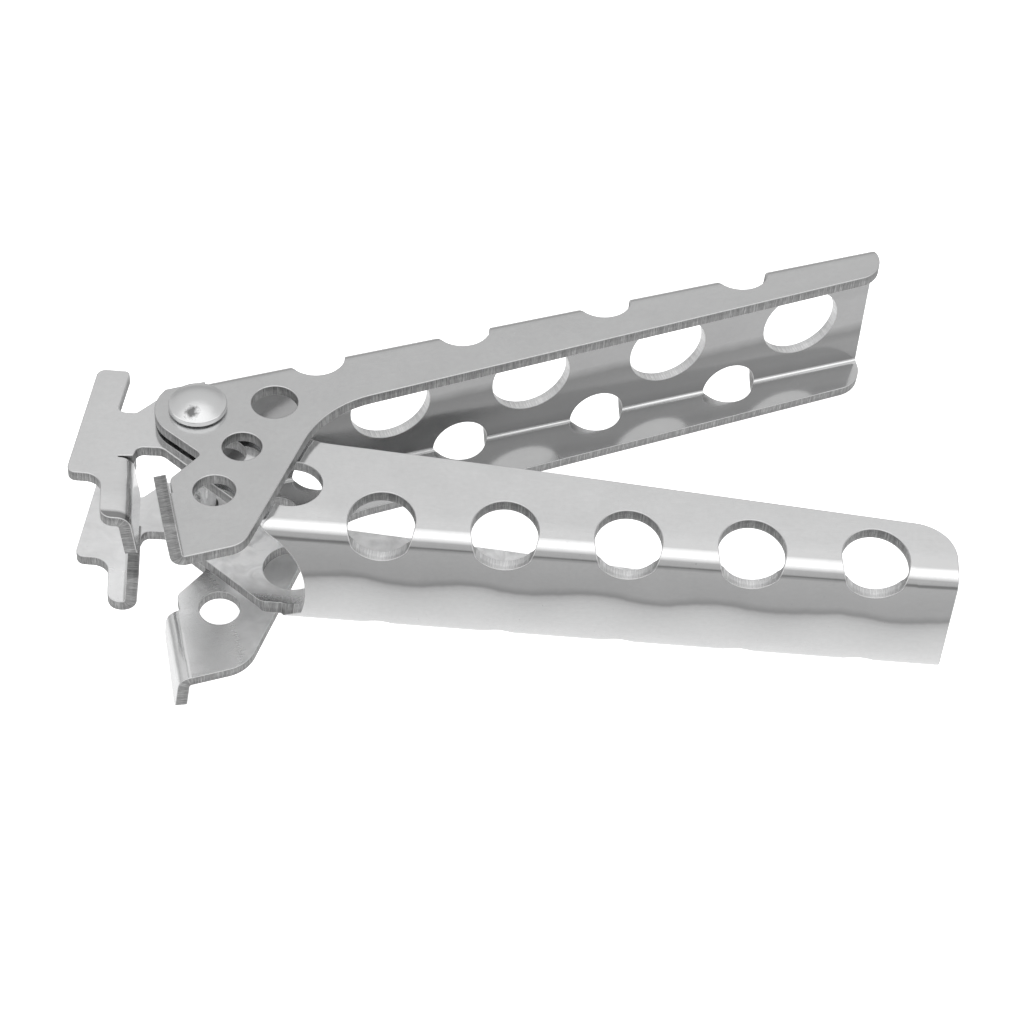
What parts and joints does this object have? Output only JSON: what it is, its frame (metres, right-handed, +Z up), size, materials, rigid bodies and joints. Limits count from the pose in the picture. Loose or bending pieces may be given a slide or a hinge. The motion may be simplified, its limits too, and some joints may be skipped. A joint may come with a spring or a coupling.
{
  "type": "camping pot gripper",
  "caption": "Pot gripper of two perforated sheet steel channel handles that scissor on one long rivet, with paired jaw tabs for lifting a hot pan by its rim.",
  "frame": {"origin": "centre of the bottom of the bounding box, with the handles partly open as in the picture", "axes": "+X along the inner handle towards its free end, +Z up along the rivet towards its domed head, -Y towards the open jaw"},
  "size_m": [0.143, 0.0884, 0.0434],
  "materials": {
    "outer_handle": "bright",
    "inner_handle": "bright",
    "pivot_rivet": "polished"
  },
  "bodies": {
    "outer": {"outer_handle": "outer_handle", "pivot_rivet": "pivot_rivet"},
    "inner": {"inner_handle": "inner_handle"}
  },
  "joints": [
    {"name": "rivet_hinge", "type": "hinge", "parent": "outer", "child": "inner", "pos_m": [-0.05214, -0.01035, 0.02345], "axis": [0, 0, 1], "range_deg": [-50, 30]}
  ]
}
